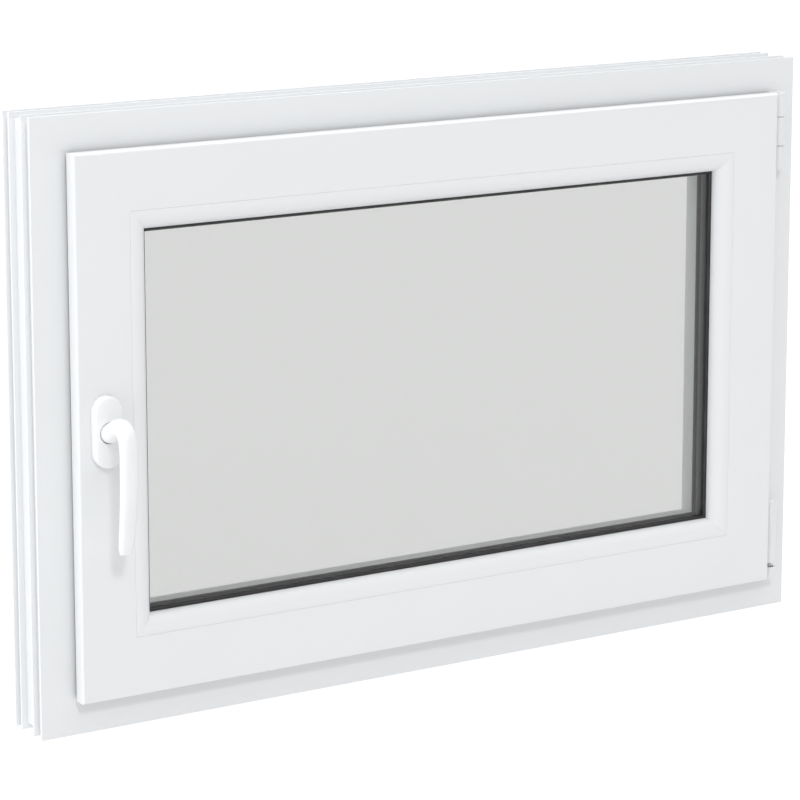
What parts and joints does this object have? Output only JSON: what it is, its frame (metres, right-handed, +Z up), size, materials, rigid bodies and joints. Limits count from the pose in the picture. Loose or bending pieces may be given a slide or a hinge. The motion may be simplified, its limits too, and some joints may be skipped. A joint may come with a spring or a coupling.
{
  "type": "casement window",
  "caption": "White inward-opening tilt-and-turn casement window: outer frame, double-glazed sash, lever handle and side hinges.",
  "frame": {"origin": "middle of the sill's underside, in the plane of the outer frame's room face", "axes": "+X to the right as seen from the room (the hinge side), +Y outdoors through the glass, +Z up"},
  "size_m": [0.9, 0.1312, 0.6],
  "materials": {
    "white_pvc": "white uPVC, satin gloss",
    "handle_white": "white powder-coated, satin",
    "hinge_white": "white moulded covers, satin",
    "galvanised_steel": "zinc coated",
    "hardware_steel": "silver passivated",
    "black_rubber": "EPDM, matt",
    "grey_rubber": "grey TPE seal, matt",
    "dark_spacer": "warm-edge spacer, matt dark grey",
    "grey_plastic": "matt grey plastic",
    "clear_glass": "clear float glass"
  },
  "bodies": {
    "frame": {"frame_left": "white_pvc", "frame_right": "white_pvc", "frame_top": "white_pvc", "frame_bottom": "white_pvc", "frame_steel_left": "galvanised_steel", "frame_steel_right": "galvanised_steel", "frame_steel_top": "galvanised_steel", "frame_steel_bottom": "galvanised_steel", "frame_seal": "black_rubber", "keep_side_lower": "hardware_steel", "keep_side_upper": "hardware_steel", "keep_top": "hardware_steel", "keep_bottom": "hardware_steel", "stay_bearing": "hinge_white", "corner_bearing": "hinge_white"},
    "sash": {"sash_left": "white_pvc", "sash_right": "white_pvc", "sash_top": "white_pvc", "sash_bottom": "white_pvc", "sash_steel_left": "galvanised_steel", "sash_steel_right": "galvanised_steel", "sash_steel_top": "galvanised_steel", "sash_steel_bottom": "galvanised_steel", "bead_left": "white_pvc", "bead_right": "white_pvc", "bead_top": "white_pvc", "bead_bottom": "white_pvc", "bead_gasket": "black_rubber", "outer_gasket": "black_rubber", "sash_seal": "grey_rubber", "sash_seal_hinge_side": "grey_rubber", "inner_pane": "clear_glass", "outer_pane": "clear_glass", "spacer": "dark_spacer", "setting_block_left": "grey_plastic", "setting_block_right": "grey_plastic", "corner_pin": "hardware_steel", "corner_band": "hardware_steel", "corner_band_cover": "hinge_white", "faceplate_side": "hardware_steel", "faceplate_top": "hardware_steel", "faceplate_bottom": "hardware_steel", "corner_drive_top": "hardware_steel", "corner_drive_bottom": "hardware_steel", "gearbox_case": "hardware_steel", "rosette_base": "grey_plastic", "rosette_cover": "handle_white", "handle_screw_lower": "hardware_steel", "handle_screw_upper": "hardware_steel"},
    "handle": {"handle_lever": "handle_white", "spindle": "hardware_steel", "gear_hub": "hardware_steel"},
    "side_rod": {"side_rod": "hardware_steel"},
    "top_rod": {"top_rod": "hardware_steel"},
    "bottom_rod": {"bottom_rod": "hardware_steel"},
    "stay_pin": {"stay_pin": "hardware_steel"},
    "stay_arm": {"stay_arm": "hardware_steel", "stay_arm_cover": "hinge_white"}
  },
  "joints": [
    {"name": "sash_tilt", "type": "hinge", "parent": "stay_pin", "child": "sash", "pos_m": [0.4225, -0.0115, 0.04], "axis": [1, 0, 0], "range_deg": [0, 8]},
    {"name": "sash_turn", "type": "hinge", "parent": "frame", "child": "stay_pin", "pos_m": [0.4225, -0.0115, 0.04], "axis": [0, 0, 1], "range_deg": [0, 100]},
    {"name": "handle_turn", "type": "hinge", "parent": "sash", "child": "handle", "pos_m": [-0.387, -0.02, 0.3], "axis": [0, -1, 0], "range_deg": [0, 180]},
    {"name": "side_rod_slide", "type": "slide", "parent": "sash", "child": "side_rod", "axis": [0, 0, 1], "range_m": [0, 0.01801]},
    {"name": "top_rod_slide", "type": "slide", "parent": "sash", "child": "top_rod", "axis": [1, 0, 0], "range_m": [0, 0.01801]},
    {"name": "bottom_rod_slide", "type": "slide", "parent": "sash", "child": "bottom_rod", "axis": [-1, 0, 0], "range_m": [0, 0.01801]},
    {"name": "stay_swing", "type": "hinge", "parent": "stay_pin", "child": "stay_arm", "pos_m": [0.4225, -0.0115, 0.525], "axis": [0, 0, 1], "range_deg": [0, 17.2]}
  ],
  "couplings": [
    {"joint": "side_rod_slide", "follows": "handle_turn", "m_per_rad": 0.00573},
    {"joint": "top_rod_slide", "follows": "handle_turn", "m_per_rad": 0.00573},
    {"joint": "bottom_rod_slide", "follows": "handle_turn", "m_per_rad": 0.00573},
    {"joint": "stay_swing", "follows": "sash_tilt", "ratio": 2.14}
  ]
}
